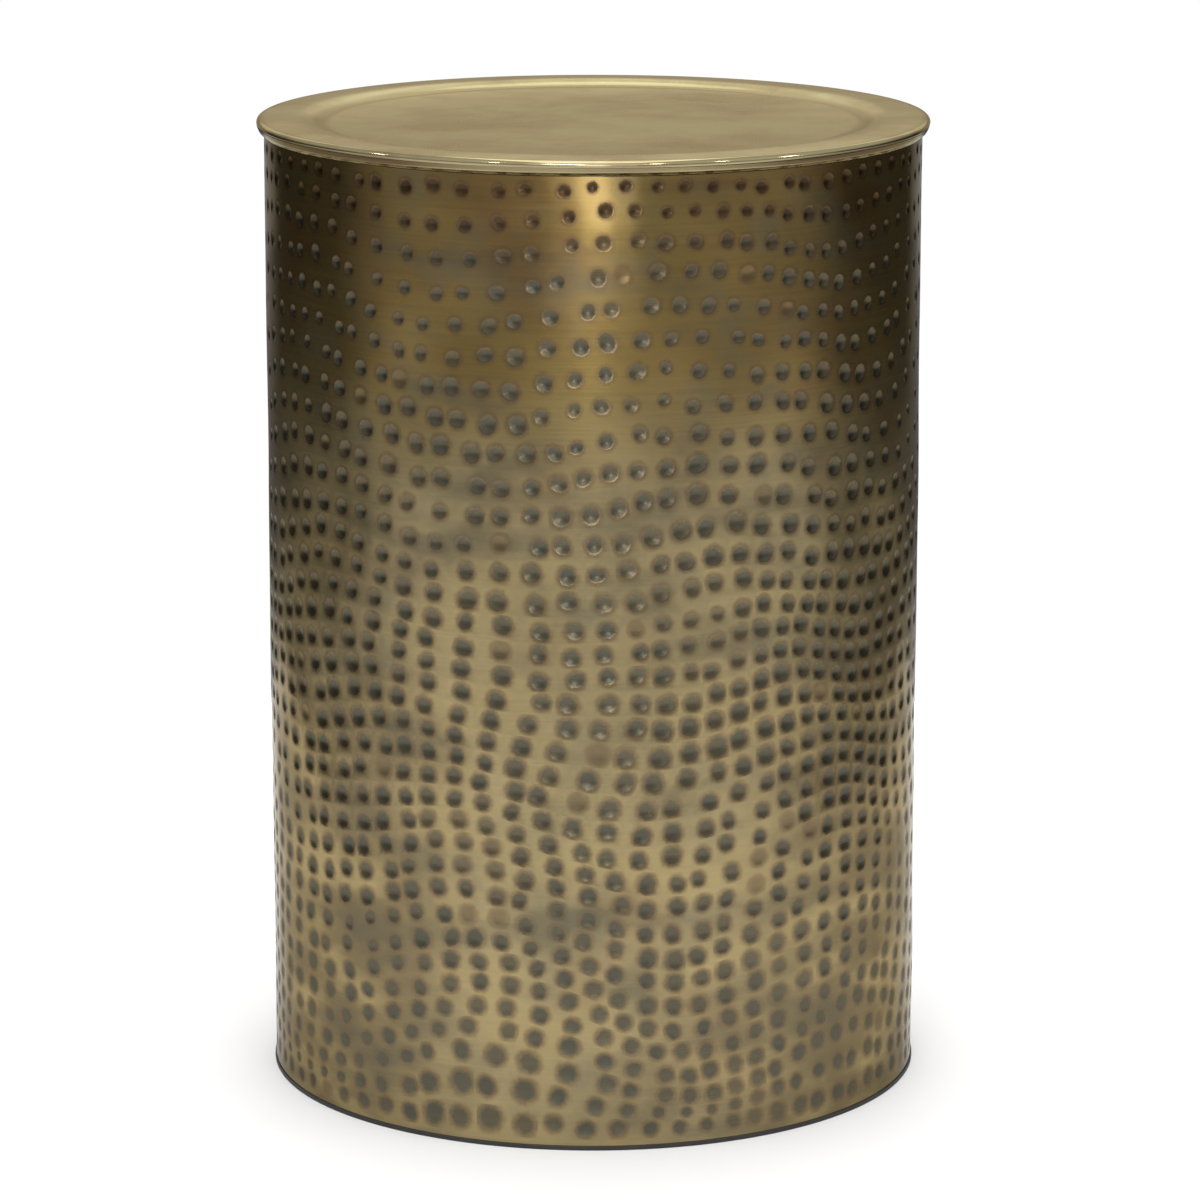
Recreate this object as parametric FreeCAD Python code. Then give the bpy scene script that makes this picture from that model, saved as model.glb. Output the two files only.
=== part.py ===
import FreeCAD, Part
import math
import os

# Drum side table: a hammered sheet-brass drum, open at the top, under a spun tray that lifts off.
# Millimetres, +Z up, the origin on the floor at the middle of the drum.

# Overall
HEIGHT = 580.0            # floor to the crest of the tray's rolled edge
RIM_RADIUS = 200.0        # outside of the rolled edge
DRUM_RADIUS = 195.5       # outside of the drum sheet
SHEET = 1.0               # drum sheet
SPUN = 1.0                # tray sheet
SHADOW_GAP = 0.6          # slit between drum and lid, held open by the pads

# Lid, measured down from HEIGHT
LID_DEPTH = 9.2           # crest of the rolled edge to the foot of the skirt
BEAD_RADIUS = 2.5         # outside of the curl that the edge makes round its wire
WIRE_RADIUS = BEAD_RADIUS - SPUN
WIRE_FLATS = 12           # the hidden wire's section, as a polygon
RECESS_DEPTH = 4.5        # flat rim down to the tray's floor
SHOULDER_RADIUS = 178.0   # where the flat rim starts to roll over
FOOT_RADIUS = 156.0       # where the wall has run out into the floor
DISH_RADIUS = 104.0       # the floor is flat inside this, and dished up a little outside it
DISH_RISE = 0.8
SKIRT_SIDE = [(1.0, 0.0), (2.3, 1.4), (3.0, 2.3), (3.55, 3.6)]   # out from the drum, up from the foot
SKIRT_TOP_RADIUS = 199.6  # skirt ring where its side runs up to meet the curl
COLLAR_WALL = 1.2
COLLAR_DEPTH = 18.0       # how far the collar hangs into the drum
RUNNING_GAP = 0.6         # collar to hoop
BACKER_THICKNESS = 6.0
SOLDER_GAP = 0.1          # round a curved joint that solder fills

# Pads between lid and drum
PAD_COUNT = 6
PAD_ARC = 4.0             # degrees each
PAD_WIDTH = 2.4
PAD_INSET = 0.4           # from the hoop's bore

# Drum
HOOP_WALL = 2.4
TOP_HOOP_HEIGHT = 15.0
BASE_HOOP_HEIGHT = 20.0
BASE_HOOP_FOOT = 6.0
PAN_SHEET = 1.0
PAN_LIP = 9.0
PAN_BEND = 3.0
SEAM_STRIP_WIDTH = 24.0
SEAM_STRIP_SHEET = 1.0
TRIM_WEB = 1.4            # rubber under the sheet's edge
TRIM_WALL = 0.6
TRIM_OUTSIDE = 2.6        # height of the trim's outer lip
TRIM_INSIDE = 5.0

LID_FOOT = HEIGHT - LID_DEPTH
DRUM_TOP = LID_FOOT - SHADOW_GAP
FLANGE_UNDERSIDE = HEIGHT - SPUN
DRUM_BORE = DRUM_RADIUS - SHEET
HOOP_BORE = DRUM_BORE - HOOP_WALL
COLLAR_RADIUS = HOOP_BORE - RUNNING_GAP
BEAD_R = RIM_RADIUS - BEAD_RADIUS
BEAD_Z = HEIGHT - BEAD_RADIUS
PAN_FLOOR = BASE_HOOP_FOOT + BASE_HOOP_HEIGHT


def at(radius, height):
    """A point of a section, in the X-Z half plane."""
    return FreeCAD.Vector(radius, 0, height)


def line(start, end):
    return Part.LineSegment(at(*start), at(*end)).toShape()


def arc(centre, radius, first, last):
    """An arc of a section, by its centre and its two angles in degrees, anticlockwise as seen from -Y."""
    def on_arc(degrees):
        turn = math.radians(degrees)
        return at(centre[0] + radius * math.cos(turn), centre[1] + radius * math.sin(turn))
    return Part.Arc(on_arc(first), on_arc((first + last) / 2), on_arc(last)).toShape()


def smooth(points):
    """A spline of a section through a few points."""
    curve = Part.BSplineCurve()
    curve.interpolate([at(*p) for p in points])
    return curve.toShape()


def turned(edges):
    """The solid that a closed section makes about the Z axis."""
    wire = Part.Wire(Part.__sortEdges__(edges))
    return Part.Face(wire).revolve(at(0, 0), FreeCAD.Vector(0, 0, 1), 360)


def polygon(corners):
    return [line(a, b) for a, b in zip(corners, corners[1:] + corners[:1])]


def ring(inner, outer, bottom, top):
    return turned(polygon([(inner, bottom), (outer, bottom), (outer, top), (inner, top)]))


def sector(inner, outer, bottom, top, middle, width):
    """A block of a ring: width degrees of it, about the angle middle."""
    band = Part.Face(Part.Wire(polygon([(inner, bottom), (outer, bottom), (outer, top), (inner, top)])))
    block = band.revolve(at(0, 0), FreeCAD.Vector(0, 0, 1), width)
    block.rotate(at(0, 0), FreeCAD.Vector(0, 0, 1), middle - width / 2)
    return block


# Drum

def drum_shell():
    return ring(DRUM_BORE, DRUM_RADIUS, TRIM_WEB, DRUM_TOP)


def top_hoop():
    """Flat bar rolled into a hoop, flush with the sheet's edge: the lid's seat."""
    return ring(HOOP_BORE, DRUM_BORE, DRUM_TOP - TOP_HOOP_HEIGHT, DRUM_TOP)


def base_hoop():
    return ring(HOOP_BORE, DRUM_BORE, BASE_HOOP_FOOT, PAN_FLOOR)


def base_pan():
    """Pressed floor of the drum, with its lip turned up against the sheet, standing on the base hoop."""
    top = PAN_FLOOR + PAN_SHEET
    bend = (DRUM_BORE - PAN_BEND, PAN_FLOOR + PAN_BEND)
    lip = PAN_FLOOR + PAN_LIP
    return turned([
        line((0, PAN_FLOOR), (bend[0], PAN_FLOOR)),
        arc(bend, PAN_BEND, -90, 0),
        line((DRUM_BORE, bend[1]), (DRUM_BORE, lip)),
        line((DRUM_BORE, lip), (DRUM_BORE - PAN_SHEET, lip)),
        line((DRUM_BORE - PAN_SHEET, lip), (DRUM_BORE - PAN_SHEET, bend[1])),
        arc(bend, PAN_BEND - PAN_SHEET, 0, -90),
        line((bend[0], top), (0, top)),
        line((0, top), (0, PAN_FLOOR)),
    ])


def seam_strip():
    """Backing strip behind the drum's upright butt seam, at the rear."""
    width = math.degrees(SEAM_STRIP_WIDTH / DRUM_BORE)
    foot = PAN_FLOOR + PAN_LIP
    head = DRUM_TOP - TOP_HOOP_HEIGHT
    return sector(DRUM_BORE - SEAM_STRIP_SHEET, DRUM_BORE, foot, head, 90, width)


def edge_trim():
    """Rubber channel pushed on to the sheet's lower edge, which the table stands on."""
    outer = DRUM_RADIUS + TRIM_WALL
    inner = DRUM_BORE - TRIM_WALL
    return turned(polygon([
        (inner, 0), (outer, 0), (outer, TRIM_OUTSIDE), (DRUM_RADIUS, TRIM_OUTSIDE),
        (DRUM_RADIUS, TRIM_WEB), (DRUM_BORE, TRIM_WEB), (DRUM_BORE, TRIM_INSIDE), (inner, TRIM_INSIDE),
    ]))


# Lid

def recess_section(drop):
    """The tray's upper face from its middle to the shoulder, lowered by drop: flat floor, slight dish, wall."""
    floor = HEIGHT - RECESS_DEPTH - drop
    span = SHOULDER_RADIUS - FOOT_RADIUS
    rise = RECESS_DEPTH - DISH_RISE
    foot = floor + DISH_RISE
    return [
        (DISH_RADIUS, floor),
        ((DISH_RADIUS + FOOT_RADIUS) / 2, floor + 0.3 * DISH_RISE),
        (FOOT_RADIUS, foot),
        (FOOT_RADIUS + 0.28 * span, foot + 0.13 * rise),
        (FOOT_RADIUS + 0.56 * span, foot + 0.63 * rise),
        (FOOT_RADIUS + 0.80 * span, foot + 0.94 * rise),
        (SHOULDER_RADIUS, foot + rise),
    ]


def tray_top():
    """Spun tray: one sheet from the middle of the floor, up the wall, along the flat rim and round the wire."""
    upper = recess_section(0)
    lower = recess_section(SPUN)
    bead = (BEAD_R, BEAD_Z)
    return turned([
        line((0, upper[0][1]), upper[0]),
        smooth(upper),
        line(upper[-1], (BEAD_R, HEIGHT)),
        arc(bead, BEAD_RADIUS, 90, -45),
        arc(bead, BEAD_RADIUS, -45, -180),
        line((BEAD_R - BEAD_RADIUS, BEAD_Z), (BEAD_R - WIRE_RADIUS, BEAD_Z)),
        arc(bead, WIRE_RADIUS, -180, -45),
        arc(bead, WIRE_RADIUS, -45, 90),
        line((BEAD_R, FLANGE_UNDERSIDE), lower[-1]),
        smooth(lower),
        line(lower[0], (0, lower[0][1])),
        line((0, lower[0][1]), (0, upper[0][1])),
    ])


def rim_wire():
    """Wire that the tray's edge is curled round."""
    turns = [2 * math.pi * k / WIRE_FLATS for k in range(WIRE_FLATS)]
    return turned(polygon([
        (BEAD_R + WIRE_RADIUS * math.cos(turn), BEAD_Z + WIRE_RADIUS * math.sin(turn)) for turn in turns
    ]))


def skirt_ring():
    """Ring under the rim: its side swells out from the drum's line, and its top is hollowed to take the curl."""
    bore = COLLAR_RADIUS
    hollow = BEAD_RADIUS + SOLDER_GAP
    reach = math.degrees(math.acos((SKIRT_TOP_RADIUS - BEAD_R) / hollow))
    tip = (SKIRT_TOP_RADIUS, BEAD_Z - hollow * math.sin(math.radians(reach)))
    side = [(DRUM_RADIUS + out, LID_FOOT + up) for out, up in SKIRT_SIDE] + [tip]
    return turned([
        line((bore, LID_FOOT), side[0]),
        smooth(side),
        arc((BEAD_R, BEAD_Z), hollow, -reach, -180),
        line((BEAD_R - hollow, BEAD_Z), (BEAD_R - hollow, FLANGE_UNDERSIDE)),
        line((BEAD_R - hollow, FLANGE_UNDERSIDE), (bore, FLANGE_UNDERSIDE)),
        line((bore, FLANGE_UNDERSIDE), (bore, LID_FOOT)),
    ])


def locating_collar():
    """Strip hoop soldered under the tray, which drops inside the top hoop and centres the lid."""
    return ring(COLLAR_RADIUS - COLLAR_WALL, COLLAR_RADIUS, DRUM_TOP - COLLAR_DEPTH, FLANGE_UNDERSIDE)


def tray_backer():
    """Board disc glued under the tray's floor, which keeps the thin sheet from drumming."""
    face = HEIGHT - RECESS_DEPTH - SPUN
    return Part.makeCylinder(DISH_RADIUS, BACKER_THICKNESS, at(0, face - BACKER_THICKNESS))


def lid_pads():
    """Clear pads stuck under the skirt ring, which rest on the top hoop and hold the shadow gap open."""
    inner = HOOP_BORE + PAD_INSET
    step = 360 / PAD_COUNT
    return Part.makeCompound([
        sector(inner, inner + PAD_WIDTH, DRUM_TOP, LID_FOOT, step / 2 + k * step, PAD_ARC)
        for k in range(PAD_COUNT)
    ])


PIECES = [
    drum_shell, top_hoop, base_hoop, base_pan, seam_strip, edge_trim,
    tray_top, rim_wire, skirt_ring, locating_collar, tray_backer, lid_pads,
]

os.makedirs("parts", exist_ok=True)
for piece in PIECES:
    shape = piece()
    shape.exportStep(f"parts/{piece.__name__}.step")
    print(f"{piece.__name__:16s} {shape.Volume / 1000:9.2f} cm3  valid {shape.isValid()}")
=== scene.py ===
import math

import bpy
import numpy as np
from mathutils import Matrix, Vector


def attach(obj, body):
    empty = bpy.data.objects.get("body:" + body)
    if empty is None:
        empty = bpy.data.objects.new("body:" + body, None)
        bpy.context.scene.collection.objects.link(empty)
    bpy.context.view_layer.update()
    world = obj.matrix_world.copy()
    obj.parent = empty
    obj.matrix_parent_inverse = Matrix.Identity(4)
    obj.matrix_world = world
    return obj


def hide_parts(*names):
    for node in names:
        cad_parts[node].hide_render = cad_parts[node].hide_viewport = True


# Drum side table: a hammered antique-brass drum under a spun brass tray that lifts off.
# +Z is up, and the origin is on the floor at the middle of the drum. Shapes are worked out in millimetres,
# and the scene is in metres.

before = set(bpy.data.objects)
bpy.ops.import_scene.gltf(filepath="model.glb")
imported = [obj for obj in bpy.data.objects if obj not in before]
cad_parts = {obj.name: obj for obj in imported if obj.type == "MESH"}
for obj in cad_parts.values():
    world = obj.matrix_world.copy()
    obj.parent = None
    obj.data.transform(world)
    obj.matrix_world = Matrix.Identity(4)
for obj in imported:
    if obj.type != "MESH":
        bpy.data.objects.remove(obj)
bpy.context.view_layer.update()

MM = 0.001
TAU = 2 * math.pi

# Sizes of the table, in millimetres, the same as the solids'
TABLE_TOP = 580.0         # crest of the tray
RIM_R = 200.0             # outside of the tray's rolled edge
BEAD = 2.5                # radius of the roll
SPUN = 1.0                # thickness of the tray's sheet
LID_FOOT = 570.8          # foot of the skirt
DRUM_TOP = 570.2          # upper and lower edge of the drum's sheet
DRUM_FOOT = 1.4
DRUM_R = 195.5            # outside and inside of the drum's sheet
DRUM_BORE = 194.5


# Meshes

ROUND = 288               # points once round a turned piece


def new_piece(name, points, faces, body, replaced, sharp):
    """A mesh object from points (n, 3) in millimetres, and arrays (m, 3 or 4) of their numbers as faces.

    Edges that turn by more than sharp degrees stay sharp to the eye.
    """
    mesh = bpy.data.meshes.new(name)
    points = np.asarray(points, dtype=np.float32) * MM
    loops = np.concatenate([np.asarray(f, dtype=np.int32).ravel() for f in faces])
    sizes = np.concatenate([np.full(len(f), f.shape[1], dtype=np.int32) for f in faces])
    starts = np.concatenate([[0], np.cumsum(sizes)[:-1]]).astype(np.int32)
    mesh.vertices.add(len(points))
    mesh.vertices.foreach_set("co", points.ravel())
    mesh.loops.add(len(loops))
    mesh.loops.foreach_set("vertex_index", loops)
    mesh.polygons.add(len(sizes))
    mesh.polygons.foreach_set("loop_start", starts)
    mesh.update(calc_edges=True)
    mesh.validate()
    mesh.polygons.foreach_set("use_smooth", np.ones(len(mesh.polygons), dtype=bool))
    mesh.set_sharp_from_angle(angle=math.radians(sharp))
    piece = bpy.data.objects.new(name, mesh)
    bpy.context.scene.collection.objects.link(piece)
    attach(piece, body)
    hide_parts(*replaced)
    return piece


def numbered(shape, first):
    """The numbers of points from first on, laid out in a shape."""
    return first + np.arange(math.prod(shape)).reshape(shape)


def quads(index, closed_across=True):
    """Quads between neighbours of a grid of point numbers. Its last column may be closed to its first."""
    a = index if closed_across else index[:, :-1]
    b = np.roll(index, -1, axis=1) if closed_across else index[:, 1:]
    return np.stack([a[:-1], b[:-1], b[1:], a[1:]], axis=-1).reshape(-1, 4)


def carried_round(section, wobble=None):
    """A section (k, 2) of radius and height carried round the Z axis: x = r cos a, y = r sin a.

    wobble(angle, radius, height) gives what is added to radius and height, for metal worked by hand. The
    section runs anticlockwise seen with the radius to the right, so that faces point outwards. Returns the
    points and the grid (k, ROUND) of their numbers.
    """
    angle = np.arange(ROUND) * TAU / ROUND
    radius = np.repeat(section[:, :1], ROUND, axis=1)
    height = np.repeat(section[:, 1:], ROUND, axis=1)
    if wobble:
        more_radius, more_height = wobble(angle[None, :], radius, height)
        radius = radius + more_radius
        height = height + more_height
    points = np.stack([radius * np.cos(angle), radius * np.sin(angle), height], axis=-1).reshape(-1, 3)
    return points, numbered(radius.shape, 0)


def closed_ring(name, section, body, replaced, sharp, wobble=None):
    """A ring whose section is a closed outline."""
    points, index = carried_round(section, wobble)
    index = np.concatenate([index, index[:1]])
    return new_piece(name, points, [quads(index)], body, replaced, sharp)


def arc(centre, radius, first, last, steps):
    """Points of an arc from its centre, radius and two angles in degrees."""
    a = np.radians(np.linspace(first, last, steps))
    return np.stack([centre[0] + radius * np.cos(a), centre[1] + radius * np.sin(a)], axis=-1)


def level(start, end, height, steps):
    """Points between the two ends of a level run of a section, in equal steps."""
    radius = np.linspace(start, end, steps + 1)[1:-1]
    return np.stack([radius, np.full(len(radius), height)], axis=-1)


def curve(points, steps):
    """A Catmull-Rom line through a few points: at each, it heads as from the last point to the next."""
    p = np.asarray(points, dtype=float)
    p = np.concatenate([[2 * p[0] - p[1]], p, [2 * p[-1] - p[-2]]])
    t = np.linspace(0, len(p) - 3, steps)
    k = np.minimum(t.astype(int), len(p) - 4)
    t = (t - k)[:, None]
    a, b, c, d = p[k], p[k + 1], p[k + 2], p[k + 3]
    return 0.5 * (2 * b + (c - a) * t + (2 * a - 5 * b + 4 * c - d) * t ** 2
                  + (3 * b - 3 * c + d - a) * t ** 3)


# The hammered sheet. A place on it is in millimetres along it from its upright seam, and up from the floor.

COLUMNS = 72                                    # blows once round the drum
ROWS = 36                                       # rows of blows
WHOLE = TAU * DRUM_R                            # once round the drum
PITCH = WHOLE / COLUMNS
LOWEST = DRUM_FOOT + 5.0                        # the line below the lowest row, and the one above the highest
HIGHEST = DRUM_TOP - 0.9
FACE_R = DRUM_R - 0.1                           # the struck face between pits, before it swells and sinks
RINGS = ((6, 0.38), (12, 0.72), (12, 1.05))     # points of each ring in a pit, and its radius in pit radii
BORDER = 12                                     # points of a cell's border
SLIP = 3.4                                      # the most that a row slips against the last
SEAM_CALM = 34.0                                # rows run true within about this distance of the seam
STRAY = 1.6                                     # the most that one blow strays each way
PAIR_PULL = 2.4                                 # how far two blows are drawn together into a pair
USUAL_R = 5.6                                   # the pit's radius at which PIT_DEPTH is the depth
BUMP = 0.75                                     # the bump behind a pit, as a share of its depth
NO_PIT = (9.0, 0.0, 0.0)                        # the attribute "pit" on the sheet's outer margins

# By number of the row: its share of the height. Then, by height up the drum: the pits' radius and depth,
# the most depth that what lies behind the sheet allows, and where a bowl meets the land, in pit radii.
ROW_SHARE = ([0, 20, 26, 34, 35], [13.7, 13.9, 17.8, 18.0, 13.0])
PIT_R = ([0, 90, 300, 430, 500, 570], [5.8, 6.3, 5.7, 5.1, 4.6, 4.3])
PIT_DEPTH = ([0, 220, 360], [0.62, 0.70, 1.0])
MOST_DEPTH = ([0, 36, 44, 544, 552, 580], [0.72, 0.72, 1.0, 1.0, 0.72, 0.72])
BOWL_END = ([0, 140, 300, 420], [1.24, 1.17, 1.08, 1.051])


def waves(turn, up, seed, count, periods, climb, size):
    """A smooth random field on the drum: size times the sum of count sine waves, over the root of count.

    A wave has a whole number of periods round the drum, from the first to the last of periods, and climbs by
    up to climb radians for a millimetre of height.
    """
    rng = np.random.default_rng(seed)
    total = 0.0
    for _ in range(count):
        whole = rng.integers(periods[0], periods[1] + 1)
        rise = rng.uniform(-climb, climb)
        total = total + np.sin(whole * turn + rise * up + rng.uniform(0, TAU))
    return size * total / math.sqrt(count)


def smooth(value, none, full):
    """0 as far as none, 1 from full on and an even S between them, whichever of the two is larger."""
    t = np.clip((value - none) / (full - none), 0, 1)
    return t * t * (3 - 2 * t)


def from_seam(along):
    """Distance round the sheet from its seam."""
    return np.abs(along - WHOLE * np.round(along / WHOLE))


def row_lines():
    """Heights of the lines between rows of blows, and how far each line has slipped round the drum.

    The slips are a random walk from line to line, and every sixth line is brought back to its place.
    """
    number = np.arange(ROWS + 1)
    lines = np.concatenate([[0], np.cumsum(np.interp(number[:-1], *ROW_SHARE))])
    lines = LOWEST + (HIGHEST - LOWEST) * lines / lines[-1]
    walk = np.cumsum(np.random.default_rng(41).uniform(-SLIP, SLIP, ROWS + 1))
    return lines, walk - np.interp(number, number[::6], walk[::6])


def drift(along, up, lines, slip):
    """How far a point of the borders lies from its place in an even grid, along the sheet and up it.

    Whole patches of blows wander together (long waves), and rows slip and wave a little by themselves (short
    ones). Nothing strays at the seam, and near the sheet's edges rows stay level and wander less.
    """
    turn = along / DRUM_R
    calm = 1 - np.exp(-(from_seam(along) / SEAM_CALM) ** 2)
    inner = smooth(up, LOWEST, DRUM_FOOT + 45) * smooth(up, HIGHEST, DRUM_TOP - 30)
    sideways = (waves(turn, up, 11, 5, (1, 3), 0.026, 12.0) + waves(turn, up, 12, 6, (3, 9), 0.07, 2.9)
                + np.interp(up, lines, slip))
    upwards = waves(turn, up, 13, 5, (2, 5), 0.012, 7.0) + waves(turn, up, 14, 6, (5, 11), 0.05, 1.8)
    return sideways * calm * (0.35 + 0.65 * inner), upwards * calm * inner


def border_net():
    """The net of borders between cells: its corners, and two points on each side of a cell.

    Returns the net's points, the numbers of its corners and of the points on its level sides, and the points
    round each cell, anticlockwise from the upper right, as numbers and as places.
    """
    lines, slip = row_lines()

    def placed(along, up):
        along, up = np.broadcast_arrays(along, up)
        return np.stack([along, up], axis=-1) + np.stack(drift(along, up, lines, slip), axis=-1)

    third = np.arange(1, 3) / 3
    left = np.arange(COLUMNS)[:, None] * PITCH
    corner = placed(left, lines[None, :])
    flat = placed((left + third * PITCH)[:, None, :], lines[None, :, None])
    upright = placed(left[:, :, None], lines[None, :-1, None] + third * np.diff(lines)[None, :, None])
    net = np.concatenate([points.reshape(-1, 2) for points in (corner, flat, upright)])
    corner_no = numbered((COLUMNS, ROWS + 1), 0)
    flat_no = numbered((COLUMNS, ROWS + 1, 2), corner_no.size)
    upright_no = numbered((COLUMNS, ROWS, 2), corner_no.size + flat_no.size)
    next_corner, next_upright = np.roll(corner_no, -1, axis=0), np.roll(upright_no, -1, axis=0)
    border_no = np.stack([
        next_corner[:, 1:], flat_no[:, 1:, 1], flat_no[:, 1:, 0],
        corner_no[:, 1:], upright_no[..., 1], upright_no[..., 0],
        corner_no[:, :-1], flat_no[:, :-1, 0], flat_no[:, :-1, 1],
        next_corner[:, :-1], next_upright[..., 0], next_upright[..., 1],
    ], axis=-1)
    border = net[border_no]
    past_seam = np.round((border[:, :, 3:4, 0] - border[..., 0]) / WHOLE)
    border[..., 0] += WHOLE * past_seam
    return net, corner_no, flat_no, border_no, border


def room_round(middle, border):
    """Least distance from each cell's middle to the lines of its border."""
    run = np.roll(border, -1, axis=2) - border
    to_middle = middle[..., None, :] - border
    across = run[..., 0] * to_middle[..., 1] - run[..., 1] * to_middle[..., 0]
    return (across / np.linalg.norm(run, axis=-1)).min(axis=-1)


def blows(border):
    """Where in its cell each blow falls, how wide and how hard, and how its pit is drawn out and which way.

    A few blows are light, and some lie drawn towards the next. A pit that would cross its cell's border moves
    back towards the middle, and is made smaller if that isn't enough.
    """
    rng = np.random.default_rng(5)
    shape = border.shape[:2]
    middle = border.mean(axis=2)
    turn, height = middle[..., 0] / DRUM_R, middle[..., 1]
    change = 0.08 * rng.standard_normal(shape).clip(-1.6, 1.8)
    size = np.interp(height, *PIT_R) * (1 + change + waves(turn, height, 31, 4, (2, 6), 0.05, 0.09))
    strength = 1 - 0.55 * (rng.random(shape) < 0.035) - 0.18 * rng.random(shape)
    patches = waves(turn, height, 32, 5, (3, 9), 0.07, 1.0)
    strength = strength * np.interp(patches, [-2.4, -1.2, 0], [0.55, 0.9, 1.0])
    pair = PAIR_PULL * (rng.random(shape) < 0.15)
    shift = rng.uniform(-STRAY, STRAY, shape + (2,))
    shift[..., 0] += pair - np.roll(pair, 1, axis=0)
    stretch = 0.07 * rng.standard_normal(shape).clip(-1.5, 1.5)
    lean = rng.uniform(0, math.pi, shape)
    outmost = RINGS[-1][1]
    need = outmost * np.minimum(size, 5.4)
    for _ in range(5):
        tight = room_round(middle + shift, border) < need
        shift[tight] *= 0.6
    middle = middle + shift
    size = np.minimum(size, room_round(middle, border) / (outmost * (1 + np.abs(stretch)) * 1.03))
    return middle, size, strength, stretch, lean


def pits(border):
    """The points inside each cell: a middle, and rings of 6, 12 and 12 points that face the border's points.

    A pit is a bowl: its depth is its middle's times (1 - (r / end)^2)^2, so it eases into the land. Low down
    the bowls are wide and leave narrow ridges; near the top the land between them is flat. Returns the pits'
    middles, radii, strengths and depths, and then for every point its place, how deep it lies, its place in
    the pit in radii, and the slope of the face there.
    """
    middle, size, strength, stretch, lean = blows(border)
    height = middle[..., 1]
    depth = strength * size / USUAL_R * np.interp(height, *PIT_DEPTH)
    depth = np.minimum(depth, np.interp(height, *MOST_DEPTH))
    end = np.interp(height, *BOWL_END)[..., None]
    to_border = border - middle[..., None, :]
    facing = np.arctan2(to_border[..., 1], to_border[..., 0])
    level_middle = np.zeros(size.shape + (1, 2))
    place, deep = [middle[..., None, :]], [depth[..., None]]
    in_pit, slope = [level_middle], [level_middle]
    for count, share in RINGS:
        angle = facing[..., ::BORDER // count]
        way = np.stack([np.cos(angle), np.sin(angle)], axis=-1)
        push = 1 + stretch[..., None] * np.cos(2 * (angle - lean[..., None]))
        place.append(middle[..., None, :] + (share * size[..., None] * push)[..., None] * way)
        deep.append((1 - (share / end) ** 2) ** 2 * depth[..., None] * np.ones(count))
        in_pit.append(share * way)
        steep = 4 * (1 - (share / end) ** 2) * share / end ** 2 * (depth / size)[..., None]
        slope.append(steep[..., None] * way)
    joined = [np.concatenate(part, axis=2) for part in (place, deep, in_pit, slope)]
    return middle, size, strength, depth, joined


def swell(turn, up):
    """How far the struck face rises (or sinks) between blows, with nothing at the sheet's two edges."""
    inner = smooth(up, 8, 48) * smooth(up, DRUM_TOP - 3, DRUM_TOP - 33)
    return inner * (waves(turn, up, 21, 6, (8, 16), 0.07, 0.14) + waves(turn, up, 22, 6, (3, 8), 0.03, 0.18))


def rolled_up(along, up, radius):
    """Points of the rolled sheet: along / DRUM_R becomes an angle about the Z axis, from the rear."""
    turn = math.pi / 2 + along / DRUM_R
    points = np.broadcast_arrays(radius * np.cos(turn), radius * np.sin(turn), up)
    return np.stack(points, axis=-1).reshape(-1, 3)


def cell_faces(cell_no, border_no):
    """Triangles of each cell: a fan round its middle, then bands from ring to ring and out to the border.

    Along the sheet, then up, is anticlockwise from outside once the sheet is rolled.
    """
    cuts = np.cumsum([1] + [count for count, _ in RINGS])
    rings = [cell_no[..., a:b] for a, b in zip(cuts, cuts[1:])] + [border_no]
    first = rings[0]
    made = [(np.broadcast_to(cell_no[..., :1], first.shape), first, np.roll(first, -1, axis=-1))]
    for small, large in zip(rings, rings[1:]):
        s0, s1 = small, np.roll(small, -1, axis=-1)
        if small.shape[-1] == large.shape[-1]:
            l0, l1 = large, np.roll(large, -1, axis=-1)
            made += [(s0, l0, l1), (s0, l1, s1)]
        else:
            l0, l1, l2 = large[..., 0::2], large[..., 1::2], np.roll(large[..., 0::2], -1, axis=-1)
            made += [(s0, l0, l1), (s0, l1, s1), (s1, l1, l2)]
    return [np.stack(corners, axis=-1) for corners in made]


def back_faces(corner_no, middle_no):
    """Four triangles behind each cell, from its corners to the middle of its bump, facing inwards."""
    right = np.roll(corner_no, -1, axis=0)
    four = [corner_no[:, :-1], right[:, :-1], right[:, 1:], corner_no[:, 1:]]
    return [np.stack([middle_no, four[(k + 1) % 4], four[k]], axis=-1).reshape(-1, 3) for k in range(4)]


def cut_edge(many, few):
    """The sheet's cut edge, facing up: every third point outside meets one inside."""
    a, b, c, d = many[0::3], many[1::3], many[2::3], np.roll(many[0::3], -1)
    e, f = few, np.roll(few, -1)
    return np.concatenate([np.stack(t, axis=-1) for t in ((a, b, e), (b, c, e), (c, d, f), (c, f, e))])


def shade_by_slope(mesh, corners, turn, up, slope):
    """Sets the struck face's normals by the slope of its formula, so that its flat little faces don't show.

    slope is how far the face rises for a millimetre along the sheet and for one up it, without the swell.
    corners are the numbers of the points at the mesh's first corners, which are the struck face's.
    """
    half = 0.5
    slope[:, 0] += swell(turn + half / DRUM_R, up) - swell(turn - half / DRUM_R, up)
    slope[:, 1] += swell(turn, up + half) - swell(turn, up - half)
    about = math.pi / 2 + turn
    outwards = np.stack([np.cos(about) + slope[:, 0] * np.sin(about),
                         np.sin(about) - slope[:, 0] * np.cos(about), -slope[:, 1]], axis=-1)
    outwards /= np.linalg.norm(outwards, axis=1, keepdims=True)
    normals = np.empty(len(mesh.loops) * 3, dtype=np.float32)
    mesh.corner_normals.foreach_get("vector", normals)
    normals = normals.reshape(-1, 3)
    normals[:len(corners)] = outwards[corners]
    mesh.normals_split_custom_set(normals)


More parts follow.
